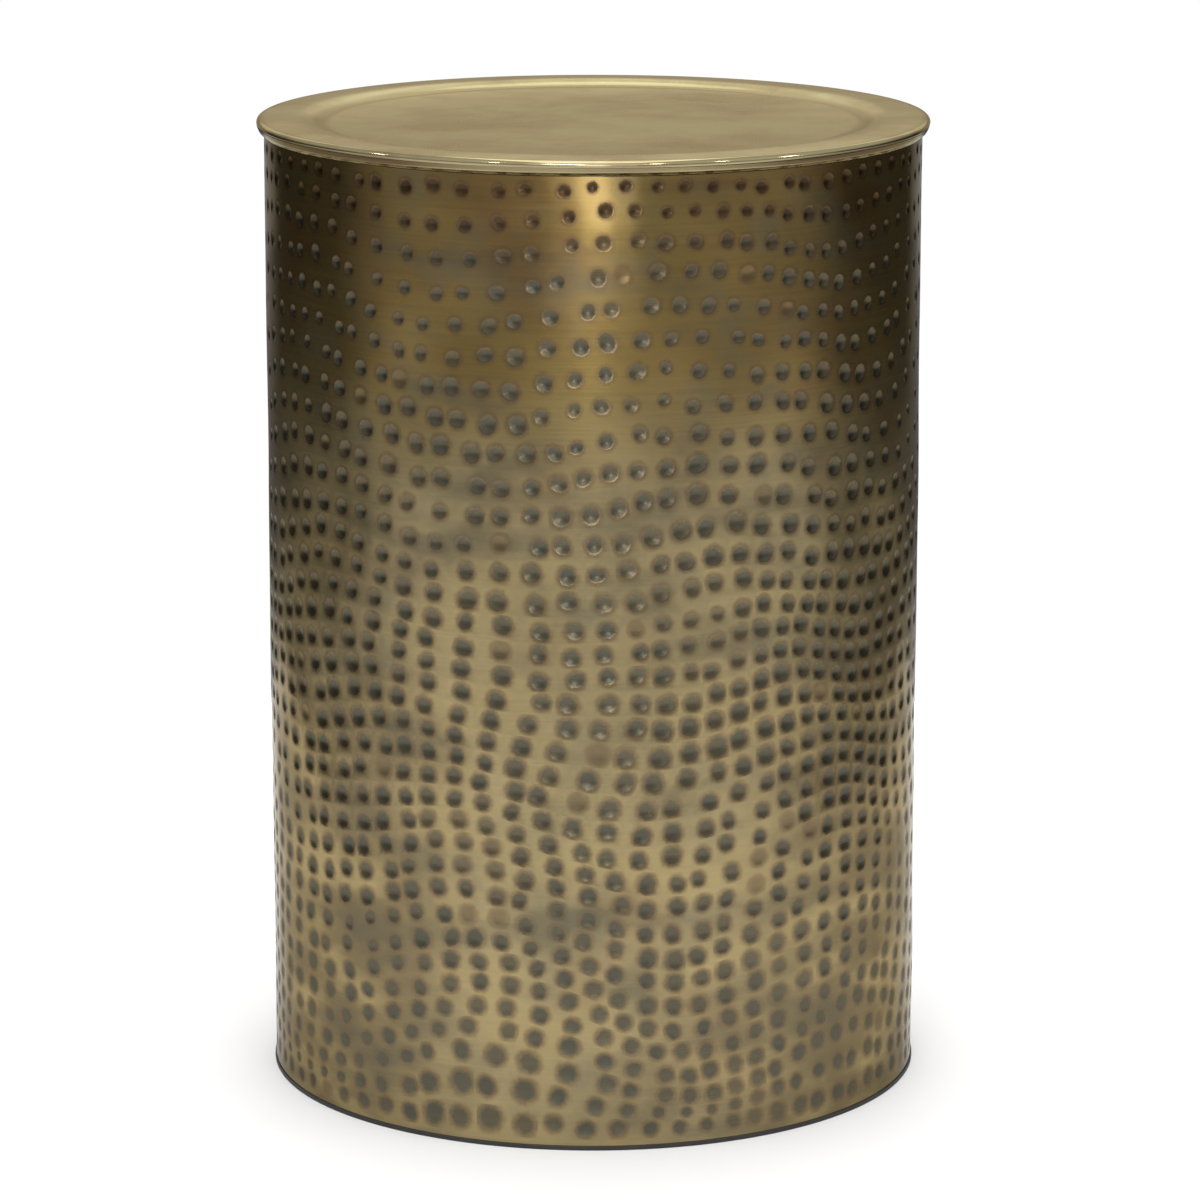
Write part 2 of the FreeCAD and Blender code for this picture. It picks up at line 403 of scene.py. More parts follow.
def place_in_pit(corners, cell, net, middle, size, in_pit):
    """Where the struck face's corners lie from the middle of their cell's pit, in radii of the pit.

    A point of the net is seen from each of the cells that it borders.
    """
    own = corners >= len(net)
    away = net[np.where(own, 0, corners)] - middle.reshape(-1, 2)[cell]
    away[:, 0] -= WHOLE * np.round(away[:, 0] / WHOLE)
    inside = in_pit.reshape(-1, 2)[np.where(own, corners - len(net), 0)]
    return np.where(own[:, None], inside, away / size.ravel()[cell, None])


def hammered_sheet():
    """The drum sheet as a lattice of cells, one blow of a round punch in each.

    A cell holds its pit's points inside a border that it shares with its neighbours. The struck face swells
    and sinks a little between blows. The back has a low bump behind each pit, but none where the hoops and
    the seam strip bear on it.
    """
    net, corner_no, flat_no, border_no, border = border_net()
    middle, size, strength, depth, (place, deep, in_pit, slope) = pits(border)

    along, up = np.concatenate([net, place.reshape(-1, 2)]).T
    turn = along / DRUM_R
    face_r = FACE_R - np.concatenate([np.zeros(len(net)), deep.ravel()]) + swell(turn, up)
    height = middle[..., 1]
    unbacked = smooth(height, 38, 52) * smooth(height, 550, 536) * smooth(from_seam(middle[..., 0]), 16, 26)
    corner = net[corner_no]
    thirds, wholes = np.arange(3 * COLUMNS) * PITCH / 3, np.arange(COLUMNS) * PITCH
    parts = [
        rolled_up(along, up, face_r),
        rolled_up(corner[..., 0], corner[..., 1], DRUM_BORE),
        rolled_up(middle[..., 0], height, DRUM_BORE - BUMP * depth * unbacked),
        rolled_up(thirds, DRUM_FOOT, FACE_R), rolled_up(thirds, DRUM_TOP, FACE_R),
        rolled_up(wholes, DRUM_FOOT, DRUM_BORE), rolled_up(wholes, DRUM_TOP, DRUM_BORE),
    ]
    starts = np.cumsum([0] + [len(part) for part in parts])
    back_corner = starts[1] + corner_no
    back_middle = numbered(size.shape, starts[2])
    foot_out, top_out, foot_in, top_in = (
        start + np.arange(len(part)) for start, part in zip(starts[3:], parts[3:]))
    low, high = (np.column_stack([corner_no[:, row], flat_no[:, row]]).ravel() for row in (0, -1))

    cells = cell_faces(numbered(deep.shape, len(net)), border_no)
    pitted = np.concatenate([faces.reshape(-1, 3) for faces in cells])
    struck = [pitted, quads(np.stack([foot_out, low])), quads(np.stack([high, top_out]))]
    unstruck = back_faces(back_corner, back_middle) + [
        quads(np.stack([back_corner[:, 0], foot_in])), quads(np.stack([top_in, back_corner[:, -1]])),
        cut_edge(top_out, top_in), cut_edge(foot_out, foot_in)[:, ::-1],
    ]
    piece = new_piece("hammered_sheet", np.concatenate(parts), struck + unstruck, "drum",
                      ("drum_shell",), sharp=50)

    mesh, corners = piece.data, pitted.ravel()
    slope = np.concatenate([np.zeros((len(net), 2)), slope.reshape(-1, 2)])
    shade_by_slope(mesh, corners, turn, up, slope)

    # "pit": a corner's place in its pit, and how hard the blow was, or -1 on the sheet's back and cut edges
    cell_no = numbered(size.shape + (1, 1), 0)
    cell = np.concatenate([np.broadcast_to(cell_no, faces.shape).ravel() for faces in cells])
    pit = np.tile(np.float32(NO_PIT), (len(mesh.loops), 1))
    pit[:len(corners), :2] = place_in_pit(corners, cell, net, middle, size, in_pit)
    pit[:len(corners), 2] = strength.ravel()[cell]
    pit[sum(faces.size for faces in struck):, 2] = -1.0
    mesh.attributes.new("pit", "FLOAT_VECTOR", "CORNER").data.foreach_set("vector", pit.ravel())
    return piece


# The lid and the small rings, in millimetres

RECESS_DEPTH = 4.5        # flat rim down to the tray's floor
DISH_R = 104.0            # the floor is flat inside this, and rises a little outside it
DISH_RISE = 0.8
FOOT_R = 156.0            # where the wall has run out into the floor
SHOULDER_R = 178.0        # where the flat rim starts to roll over
RIM_FALL = 0.58           # how far the rim falls from its shoulder to the rolled edge, on average
FLOOR = TABLE_TOP - RECESS_DEPTH
BEAD_R = RIM_R - BEAD     # middle of the roll
BEAD_Z = TABLE_TOP - BEAD
SKIRT_SIDE = ((1.0, 0.0), (2.3, 1.4), (3.0, 2.3), (3.55, 3.6))     # out from the drum, up from the foot
SKIRT_TOP_R = 199.6       # where the side meets the hollow
SKIRT_BORE = 191.5
HOLLOW = BEAD + 0.1       # radius of the hollow that takes the roll, with room for solder
TRIM_WALL = 0.6           # rubber each side of the drum's sheet
TRIM_OUTSIDE = 2.6        # heights of its two lips
TRIM_INSIDE = 5.0
PAD_COUNT = 6
PAD_ARC = 4.0             # degrees each
PAD_BORE = 192.5
PAD_WIDTH = 2.4


def recess(drop):
    """The tray's face from the flat floor up its soft wall to the flat rim, lowered by drop."""
    floor = FLOOR - drop
    span, rise, foot = SHOULDER_R - FOOT_R, RECESS_DEPTH - DISH_RISE, floor + DISH_RISE
    return curve([
        (DISH_R, floor), ((DISH_R + FOOT_R) / 2, floor + 0.3 * DISH_RISE), (FOOT_R, foot),
        (FOOT_R + 0.28 * span, foot + 0.13 * rise), (FOOT_R + 0.56 * span, foot + 0.63 * rise),
        (FOOT_R + 0.80 * span, foot + 0.94 * rise), (SHOULDER_R, foot + rise),
    ], 61)


def rim_run(angle):
    """Height of the rolled edge over the tray's shoulder: negative, and uneven, as it was rolled by hand."""
    return (0.10 * np.sin(2 * angle + 0.6) + 0.06 * np.sin(3 * angle + 2.1) + 0.03 * np.sin(7 * angle)
            - RIM_FALL)


def hand_spun(angle, radius, height):
    """The tray runs up to 0.2 mm out of round, and its rim falls away, a little crowned, to its edge."""
    grip = smooth(radius, 140, 190)
    fall = np.clip((radius - SHOULDER_R) / (BEAD_R - BEAD - SHOULDER_R), 0, 1) ** 1.3
    return 0.10 * grip * (np.sin(3 * angle + 1) - 1), fall * rim_run(angle)


def spun_tray():
    """One sheet: flat floor, slight dish, soft wall, flat rim, then three quarters of a turn round the wire.

    Its section starts and ends beside the axis, and fans of triangles close it there, above and below.
    """
    bead = (BEAD_R, BEAD_Z)
    section = np.concatenate([
        level(0.0, DISH_R, FLOOR - SPUN, 4), recess(SPUN), level(SHOULDER_R, BEAD_R, TABLE_TOP - SPUN, 4),
        arc(bead, BEAD - SPUN, 90, -180, 15), arc(bead, BEAD, -180, 90, 31),
        level(BEAD_R, SHOULDER_R, TABLE_TOP, 12), recess(0)[::-1], level(DISH_R, 0.0, FLOOR, 26),
    ])
    points, index = carried_round(section, hand_spun)
    below, above = index[0], index[-1]
    caps = np.concatenate([
        np.stack([above, np.roll(above, -1), np.full(ROUND, len(points))], axis=-1),
        np.stack([np.roll(below, -1), below, np.full(ROUND, len(points) + 1)], axis=-1),
    ])
    points = np.concatenate([points, [[0, 0, FLOOR], [0, 0, FLOOR - SPUN]]])
    return new_piece("spun_tray", points, [quads(index), caps], "lid", ("tray_top",), sharp=40)


def skirt_band():
    """The ring under the curl: a foot, a side that swells out from the drum's line, a hollow and a back."""
    reach = math.degrees(math.acos((SKIRT_TOP_R - BEAD_R) / HOLLOW))
    tip = (SKIRT_TOP_R, BEAD_Z - HOLLOW * math.sin(math.radians(reach)))
    side = [(DRUM_R + out, LID_FOOT + up) for out, up in SKIRT_SIDE] + [tip]
    section = np.concatenate([
        [(SKIRT_BORE, LID_FOOT)], curve(side, 25), arc((BEAD_R, BEAD_Z), HOLLOW, -reach, -180, 15)[1:],
        [(BEAD_R - HOLLOW, TABLE_TOP - SPUN), (SKIRT_BORE, TABLE_TOP - SPUN)],
    ])

    def follow(angle, radius, height):
        """The side runs up and down with the rim above it; the foot, the flat back and the bore stay true."""
        free = smooth(height, LID_FOOT, LID_FOOT + 4) * (height < TABLE_TOP - SPUN - 0.5)
        return 0 * radius, free * rim_run(angle)

    return closed_ring("skirt_band", section, "lid", ("skirt_ring",), sharp=35, wobble=follow)


def foot_edging():
    """Rubber channel round the sheet's lower edge: a lip outside, a taller one inside, corners eased."""
    outer, inner = DRUM_R + TRIM_WALL, DRUM_BORE - TRIM_WALL
    foot, outside, inside = 0.5, 0.3, 0.25      # radii of the eased corners, at the foot and on each lip
    section = np.concatenate([
        arc((outer - foot, foot), foot, -90, 0, 5),
        arc((outer - outside, TRIM_OUTSIDE - outside), outside, 0, 90, 5),
        [(DRUM_R, TRIM_OUTSIDE), (DRUM_R, DRUM_FOOT), (DRUM_BORE, DRUM_FOOT), (DRUM_BORE, TRIM_INSIDE)],
        arc((inner + inside, TRIM_INSIDE - inside), inside, 90, 180, 4),
        arc((inner + foot, foot), foot, 180, 270, 5),
    ])
    return closed_ring("foot_edging", section, "drum", ("edge_trim",), sharp=60)


def bumpers():
    """Clear pads between hoop and lid: short curved bars, rounded off over a tenth of them at each end."""
    steps = 15
    along = np.linspace(-1, 1, steps)
    taper = np.sqrt(np.clip(1 - np.clip((np.abs(along) - 0.8) / 0.2, 0, 1) ** 2, 0.02, 1))
    middle, half = PAD_BORE + PAD_WIDTH / 2, PAD_WIDTH / 2 * taper
    corners = ((-1, DRUM_TOP), (1, DRUM_TOP), (1, LID_FOOT), (-1, LID_FOOT))
    points, faces = [], []
    for k in range(PAD_COUNT):
        turn = math.radians((k + 0.5) * 360 / PAD_COUNT) + along * math.radians(PAD_ARC / 2)
        for side, height in corners:
            radius = middle + side * half
            run = [radius * np.cos(turn), radius * np.sin(turn), np.full(steps, height)]
            points.append(np.stack(run, axis=-1))
        index = numbered((len(corners), steps), k * len(corners) * steps)
        faces.append(quads(np.concatenate([index, index[:1]]), closed_across=False))
        faces.append(np.array([index[:, 0][::-1], index[:, -1]]))
    return new_piece("bumpers", np.concatenate(points), faces, "lid",
                     ("lid_pads",), sharp=60)


# Materials

# Settings that many nodes share. A Mix of colours has its two colours on sockets 6 and 7, and gives output 2.
MIX = {"data_type": "RGBA"}
EASED = {"interpolation_type": "SMOOTHSTEP"}
POINT = {"vector_type": "POINT"}
MULTIPLY = {"operation": "MULTIPLY"}
MULTIPLY_ADD = {"operation": "MULTIPLY_ADD"}
SUBTRACT = {"operation": "SUBTRACT"}
ABSOLUTE = {"operation": "ABSOLUTE"}
MAXIMUM = {"operation": "MAXIMUM"}
GREATER_THAN = {"operation": "GREATER_THAN"}
LENGTH = {"operation": "LENGTH"}


def linear(code):
    """An sRGB hex colour as the linear values that a shader takes, with full alpha."""
    rgb = [int(code[k:k + 2], 16) / 255 for k in (1, 3, 5)]
    return tuple(c / 12.92 if c <= 0.04045 else ((c + 0.055) / 1.055) ** 2.4 for c in rgb) + (1.0,)


def add(tree, kind, settings=None, **sockets):
    """Adds a node: settings are its own properties, and sockets its inputs, as values or as other sockets.

    An input goes by its name, with _ for a space, or by its number after a _.
    """
    node = tree.nodes.new(kind)
    for key, value in (settings or {}).items():
        setattr(node, key, value)
    for key, value in sockets.items():
        socket = node.inputs[int(key[1:])] if key[0] == "_" else node.inputs[key.replace("_", " ")]
        if isinstance(value, bpy.types.NodeSocket):
            tree.links.new(value, socket)
        else:
            socket.default_value = value
    return node


def shader(name):
    """An empty material with its shader, and the object's own coordinates in metres."""
    material = bpy.data.materials.new(name)
    material.use_nodes = True
    tree = material.node_tree
    tree.nodes.clear()
    surface = add(tree, "ShaderNodeBsdfPrincipled")
    add(tree, "ShaderNodeOutputMaterial", Surface=surface.outputs[0])
    place = add(tree, "ShaderNodeTexCoord").outputs["Object"]
    return material, tree, surface, place


def hammered_antique_brass():
    """Brass sheet, struck, then aged chemically and rubbed back.

    The lands are satin: golden brown near the top and greyer tan low down, with coppery clouds some 90 mm
    across and olive ones of 30 mm. Near the foot at the flanks they carry painted shade, which stands in for
    the dimmer reflection there. The pits keep their patina, red-brown at the very top and grey-green below,
    with a coppery edge where the rubbing cut through it.
    Smears of patina some 80 mm long and 30 mm high lie round the drum, with brighter rubbed patches between
    them. A brazed seam, 1.8 mm wide and paler, runs up the rear. The sheet was rubbed round the drum: real
    scratches of 0.1 mm are drawn 1.2 mm apart, as fine as shows, and the highlights are stretched a little
    upwards. The sheet's back was never rubbed, and is dull.
    """
    material, tree, surface, place = shader("hammered antique brass")

    # a pit's patina, made ragged by noise of 4 mm, the coppery edge round it, and the sheet's back
    pit = add(tree, "ShaderNodeAttribute", {"attribute_name": "pit"}).outputs["Vector"]
    parts = add(tree, "ShaderNodeSeparateXYZ", Vector=pit)
    strength = parts.outputs[2]
    back = add(tree, "ShaderNodeMapRange", Value=strength, From_Max=-1.0).outputs[0]
    flat = add(tree, "ShaderNodeCombineXYZ", X=parts.outputs[0], Y=parts.outputs[1])
    away = add(tree, "ShaderNodeVectorMath", LENGTH, _0=flat.outputs[0]).outputs["Value"]
    ragged = add(tree, "ShaderNodeTexNoise", Vector=place, Scale=240.0, Detail=3.0, Roughness=0.6).outputs[0]
    away = add(tree, "ShaderNodeMath", MULTIPLY_ADD, _0=ragged, _1=0.55, _2=away).outputs[0]
    inside = add(tree, "ShaderNodeMapRange", EASED, Value=away, From_Min=1.62, From_Max=0.82).outputs[0]
    inside = add(tree, "ShaderNodeMath", MULTIPLY, _0=inside, _1=strength).outputs[0]
    edge = add(tree, "ShaderNodeMapRange", EASED, Value=away,
               From_Min=1.85, From_Max=1.35, To_Max=0.50).outputs[0]

    # smears of patina and rubbed patches: noise of 77 mm round the drum and 33 mm up it
    wide = add(tree, "ShaderNodeMapping", POINT, Vector=place, Scale=(13.0, 13.0, 30.0)).outputs[0]
    smears = add(tree, "ShaderNodeTexNoise", Vector=wide, Scale=1.0, Detail=3.0, Roughness=0.5).outputs[0]
    smear = add(tree, "ShaderNodeMapRange", Value=smears,
                From_Min=0.54, From_Max=0.70, To_Max=0.50).outputs[0]
    worn = add(tree, "ShaderNodeMapRange", Value=smears, From_Min=0.52, From_Max=0.34, To_Max=0.75).outputs[0]
    inside = add(tree, "ShaderNodeMath", MAXIMUM, _0=inside, _1=smear).outputs[0]

    # the seam, the upper drum, its topmost rows, and painted shade on the foot, which reaches higher at the
    # flanks
    spot = add(tree, "ShaderNodeSeparateXYZ", Vector=place)
    across, up = spot.outputs["X"], spot.outputs["Z"]
    off_seam = add(tree, "ShaderNodeMath", ABSOLUTE, _0=across).outputs[0]
    seam = add(tree, "ShaderNodeMapRange", Value=off_seam, From_Min=1.2 * MM, From_Max=0.6 * MM).outputs[0]
    rear = add(tree, "ShaderNodeMath", GREATER_THAN, _0=spot.outputs["Y"], _1=0.0).outputs[0]
    seam = add(tree, "ShaderNodeMath", MULTIPLY, _0=seam, _1=rear).outputs[0]
    upper = add(tree, "ShaderNodeMapRange", Value=up, From_Min=390 * MM, From_Max=460 * MM).outputs[0]
    topmost = add(tree, "ShaderNodeMapRange", Value=up, From_Min=505 * MM, From_Max=550 * MM).outputs[0]
    reach = add(tree, "ShaderNodeMath", MULTIPLY_ADD, _0=off_seam, _1=0.45, _2=240 * MM).outputs[0]
    reach = add(tree, "ShaderNodeMath", MULTIPLY_ADD, _0=across, _1=0.3, _2=reach).outputs[0]
    under = add(tree, "ShaderNodeMath", SUBTRACT, _0=reach, _1=up).outputs[0]
    under = add(tree, "ShaderNodeMapRange", Value=under, From_Max=120 * MM).outputs[0]
    flank_shade = add(tree, "ShaderNodeMapRange", Value=off_seam,
                From_Min=60 * MM, From_Max=140 * MM, To_Max=0.85).outputs[0]
    foot = add(tree, "ShaderNodeMath", MULTIPLY, _0=under, _1=flank_shade).outputs[0]

    # coppery clouds of 90 mm, olive ones of 30 mm, and scratches 71 mm long and 1.2 mm apart
    clouds = add(tree, "ShaderNodeTexNoise", Vector=place, Scale=11.0, Detail=3.0, Roughness=0.5).outputs[0]
    spots = add(tree, "ShaderNodeTexNoise", Vector=place, Scale=34.0, Detail=4.0, Roughness=0.55).outputs[0]
    copper = add(tree, "ShaderNodeMapRange", Value=clouds,
                 From_Min=0.46, From_Max=0.66, To_Max=0.8).outputs[0]
    olive = add(tree, "ShaderNodeMapRange", Value=spots, From_Min=0.48, From_Max=0.70, To_Max=0.6).outputs[0]
    rubbed = add(tree, "ShaderNodeMapping", POINT, Vector=place, Scale=(14.0, 14.0, 820.0)).outputs[0]
    grain = add(tree, "ShaderNodeTexNoise", Vector=rubbed, Scale=1.0, Detail=2.0).outputs[0]

    # colours, each laid over the last
    land = add(tree, "ShaderNodeMix", MIX, Factor=upper,
               _6=linear("#968763"), _7=linear("#867143")).outputs[2]
    warm = add(tree, "ShaderNodeMix", MIX, Factor=upper,
               _6=linear("#8a7856"), _7=linear("#866840")).outputs[2]
    land = add(tree, "ShaderNodeMix", MIX, Factor=copper, _6=land, _7=warm).outputs[2]
    land = add(tree, "ShaderNodeMix", MIX, Factor=olive, _6=land, _7=linear("#757058")).outputs[2]
    # painted shade: the land is darkened near the foot at the flanks, standing in for the dimmer reflection
    # there
    land = add(tree, "ShaderNodeMix", MIX, Factor=foot, _6=land, _7=linear("#6a5e42")).outputs[2]
    bright = add(tree, "ShaderNodeMix", MIX, Factor=upper,
                 _6=linear("#9f8e64"), _7=linear("#8c7746")).outputs[2]
    land = add(tree, "ShaderNodeMix", MIX, Factor=worn, _6=land, _7=bright).outputs[2]
    land = add(tree, "ShaderNodeMix", MIX, Factor=edge, _6=land, _7=linear("#755c3f")).outputs[2]
    patina = add(tree, "ShaderNodeMix", MIX, Factor=topmost,
                 _6=linear("#525044"), _7=linear("#38291c")).outputs[2]
    both = add(tree, "ShaderNodeMix", MIX, Factor=inside, _6=land, _7=patina).outputs[2]
    both = add(tree, "ShaderNodeMix", MIX, Factor=seam, _6=both, _7=linear("#c9b273")).outputs[2]
    both = add(tree, "ShaderNodeMix", MIX, Factor=back, _6=both, _7=linear("#a48a58")).outputs[2]
    tone = add(tree, "ShaderNodeMapRange", Value=grain,
               From_Min=0.25, From_Max=0.75, To_Min=0.94, To_Max=1.05).outputs[0]
    colour = add(tree, "ShaderNodeVectorMath", {"operation": "SCALE"}, _0=both, Scale=tone).outputs[0]
    tree.links.new(colour, surface.inputs["Base Color"])
    tint = add(tree, "ShaderNodeMix", MIX, Factor=inside,
               _6=linear("#cbc5ba"), _7=linear("#b4afa4")).outputs[2]
    tree.links.new(tint, surface.inputs["Specular Tint"])

    # gloss: satin lands, duller pits and scratches, and a dull back, under a thin worn lacquer
    rough = add(tree, "ShaderNodeMapRange", Value=inside, To_Min=0.14, To_Max=0.28).outputs[0]
    rough = add(tree, "ShaderNodeMath", MULTIPLY_ADD, _0=grain, _1=0.05, _2=rough).outputs[0]
    rough = add(tree, "ShaderNodeMath", MULTIPLY_ADD, _0=back, _1=0.32, _2=rough).outputs[0]
    tree.links.new(rough, surface.inputs["Roughness"])
    surface.inputs["Metallic"].default_value = 1.0
    surface.inputs["Coat Weight"].default_value = 0.15
    surface.inputs["Coat Roughness"].default_value = 0.10
    surface.inputs["Anisotropic"].default_value = 0.1
    surface.inputs["Anisotropic Rotation"].default_value = 0.25
    round_drum = add(tree, "ShaderNodeTangent", {"direction_type": "RADIAL", "axis": "Z"}).outputs[0]
    tree.links.new(round_drum, surface.inputs["Tangent"])
    return material


def spun_antique_brass():
    """Brass sheet, spun and satin-finished, then aged: dull gold, with brown clouds 40 to 100 mm across.

    The rubbing back that brightened the open faces missed the crease where the tray's wall meets its floor,
    and left it brown. Under the rolled edge a band of painted shade runs round the skirt, wider and browner
    to the sides. Hands have polished the rolled edge, which gives small white glints.
    """
    material, tree, surface, place = shader("spun antique brass")

    # brown clouds of 77 mm, and the crease round the tray's floor, 161.5 mm from its middle
    clouds = add(tree, "ShaderNodeTexNoise", Vector=place, Scale=13.0, Detail=5.0, Roughness=0.6).outputs[0]
    brown = add(tree, "ShaderNodeMapRange", Value=clouds,
                From_Min=0.38, From_Max=0.64, To_Max=0.62).outputs[0]
    flat = add(tree, "ShaderNodeVectorMath", MULTIPLY, _0=place, _1=(1.0, 1.0, 0.0)).outputs[0]
    radius = add(tree, "ShaderNodeVectorMath", LENGTH, _0=flat).outputs["Value"]
    off = add(tree, "ShaderNodeMath", SUBTRACT, _0=radius, _1=161.5 * MM).outputs[0]
    off = add(tree, "ShaderNodeMath", ABSOLUTE, _0=off).outputs[0]
    crease = add(tree, "ShaderNodeMapRange", EASED, Value=off,
                 From_Min=8 * MM, From_Max=1 * MM, To_Max=0.55).outputs[0]
    dull = add(tree, "ShaderNodeMath", MAXIMUM, _0=brown, _1=crease).outputs[0]

    # painted shade in the groove round the skirt, 3.5 mm above its foot, under the rolled edge: wider and
    # browner to the sides
    spot = add(tree, "ShaderNodeSeparateXYZ", Vector=place)
    across, up = spot.outputs["X"], spot.outputs["Z"]
    off = add(tree, "ShaderNodeMath", SUBTRACT, _0=up, _1=(LID_FOOT + 3.5) * MM).outputs[0]
    off = add(tree, "ShaderNodeMath", ABSOLUTE, _0=off).outputs[0]
    reach = add(tree, "ShaderNodeMath", MULTIPLY, _0=across, _1=across).outputs[0]
    off = add(tree, "ShaderNodeMath", MULTIPLY_ADD, _0=reach, _1=-0.05, _2=off).outputs[0]
    under_roll_shade = add(tree, "ShaderNodeMapRange", EASED, Value=off,
                 From_Min=1.5 * MM, From_Max=0.5 * MM).outputs[0]
    kept = add(tree, "ShaderNodeMapRange", Value=reach, From_Max=0.012, To_Min=0.35, To_Max=0.9).outputs[0]
    under_roll_shade = add(tree, "ShaderNodeMath", MULTIPLY, _0=under_roll_shade, _1=kept).outputs[0]
    outmost = add(tree, "ShaderNodeMapRange", Value=radius, From_Min=188 * MM, From_Max=192 * MM).outputs[0]
    under_roll_shade = add(tree, "ShaderNodeMath", MULTIPLY, _0=under_roll_shade, _1=outmost).outputs[0]

    face = add(tree, "ShaderNodeMix", MIX, Factor=dull, _6=linear("#a59b76"), _7=linear("#87765a")).outputs[2]
    # painted shade under the rolled edge, laid over the face's colour
    face = add(tree, "ShaderNodeMix", MIX, Factor=under_roll_shade, _6=face, _7=linear("#4a3722")).outputs[2]
    tree.links.new(face, surface.inputs["Base Color"])
    tint = add(tree, "ShaderNodeMix", MIX, Factor=dull, _6=linear("#e0dbc4"), _7=linear("#bdb29e")).outputs[2]
    tree.links.new(tint, surface.inputs["Specular Tint"])

    # gloss: satin on the open face, and polished on the rolled edge
    satin = add(tree, "ShaderNodeMapRange", Value=clouds,
                From_Min=0.3, From_Max=0.7, To_Min=0.11, To_Max=0.21).outputs[0]
    open_face = add(tree, "ShaderNodeMapRange", Value=radius,
                    From_Min=198.5 * MM, From_Max=194.5 * MM).outputs[0]
    rough = add(tree, "ShaderNodeMath", MULTIPLY_ADD, _0=open_face, _1=satin, _2=0.09).outputs[0]
    tree.links.new(rough, surface.inputs["Roughness"])
    surface.inputs["Metallic"].default_value = 1.0
    surface.inputs["Coat Weight"].default_value = 0.14
    surface.inputs["Coat Roughness"].default_value = 0.05
    return material


def clouded(name, code, other, scale, metallic, roughness):
    """A finish whose colour drifts from one to another in clouds of 1 / scale metres."""
    material, tree, surface, place = shader(name)
    clouds = add(tree, "ShaderNodeTexNoise", Vector=place, Scale=scale, Detail=4.0, Roughness=0.6).outputs[0]
    much = add(tree, "ShaderNodeMapRange", Value=clouds, From_Min=0.4, From_Max=0.7).outputs[0]
    colour = add(tree, "ShaderNodeMix", MIX, Factor=much, _6=linear(code), _7=linear(other)).outputs[2]
    tree.links.new(colour, surface.inputs["Base Color"])
    surface.inputs["Metallic"].default_value = metallic
    surface.inputs["Roughness"].default_value = roughness
    return material


def clear_silicone():
    """Cast clear silicone: soft pads that let most of the light through, with a dull gloss."""
    material, _, surface, _ = shader("clear silicone")
    surface.inputs["Base Color"].default_value = linear("#eeeee6")
    surface.inputs["Roughness"].default_value = 0.3
    surface.inputs["IOR"].default_value = 1.41
    surface.inputs["Transmission Weight"].default_value = 0.6
    return material


# Stage, light and camera, in metres and watts

BOARD_HALF = 0.9
TRAY = (0.0, 0.0, 0.57)                 # where lights aim that are meant for the tray
EYE = (0.0, -3.10, 0.981)
EYE_DOWN = 12.667                       # degrees
EYE_ROLL = -0.0013                      # radians
SENSOR = 36.0                           # mm
FRAME_PX = 1200
FOCAL_PX = 5241                         # focal length, in pixels of that frame

STRIP_R, STRIP_Z = 2.6, 1.9             # lamps in front of the table, for the glints on its rolled edge
STRIP_HEIGHT = 0.16
STRIP_POWER = 16                        # for a metre of width
STRIPS = ((-80, 0.20), (-34, 0.16), (-10, 0.60), (22, 0.20), (45, 0.16), (72, 0.30))    # degrees, width

# The room's greys on a ramp from low (0) to high (1): place on the ramp, grey, and how cream if it is
ROOM_FRONT = ((0.17, 1.05), (0.20, 1.22), (0.243, 1.22), (0.266, 0.42), (0.29, 0.37), (0.33, 0.43),
              (0.50, 0.42), (1.0, 0.90))
ROOM_SIDES = ((0.12, 0.95), (0.20, 0.66), (0.25, 0.20), (0.28, 0.09), (0.36, 0.06), (0.50, 0.07),
              (0.60, 0.22), (1.0, 0.75))
ROOM_BEHIND = ((0.12, 1.00), (0.18, 1.00), (0.24, 0.16), (0.28, 0.18), (0.33, 0.40), (0.50, 0.44, 1.0),
               (0.66, 0.42, 1.0), (0.73, 1.02, 0.9), (0.85, 1.0, 0.5), (1.0, 1.75))


def white_board():
    """A matt white board, which the table stands on."""
    half = BOARD_HALF
    mesh = bpy.data.meshes.new("white_board")
    corners = [(-half, -half, 0), (half, -half, 0), (half, half, 0), (-half, half, 0)]
    mesh.from_pydata(corners, [], [(0, 1, 2, 3)])
    board = bpy.data.objects.new("white_board", mesh)
    bpy.context.scene.collection.objects.link(board)
    material, _, surface, _ = shader("white board")
    surface.inputs["Base Color"].default_value = linear("#d8d8d8")
    surface.inputs["Roughness"].default_value = 0.9
    surface.inputs["Specular IOR Level"].default_value = 0.1
    mesh.materials.append(material)


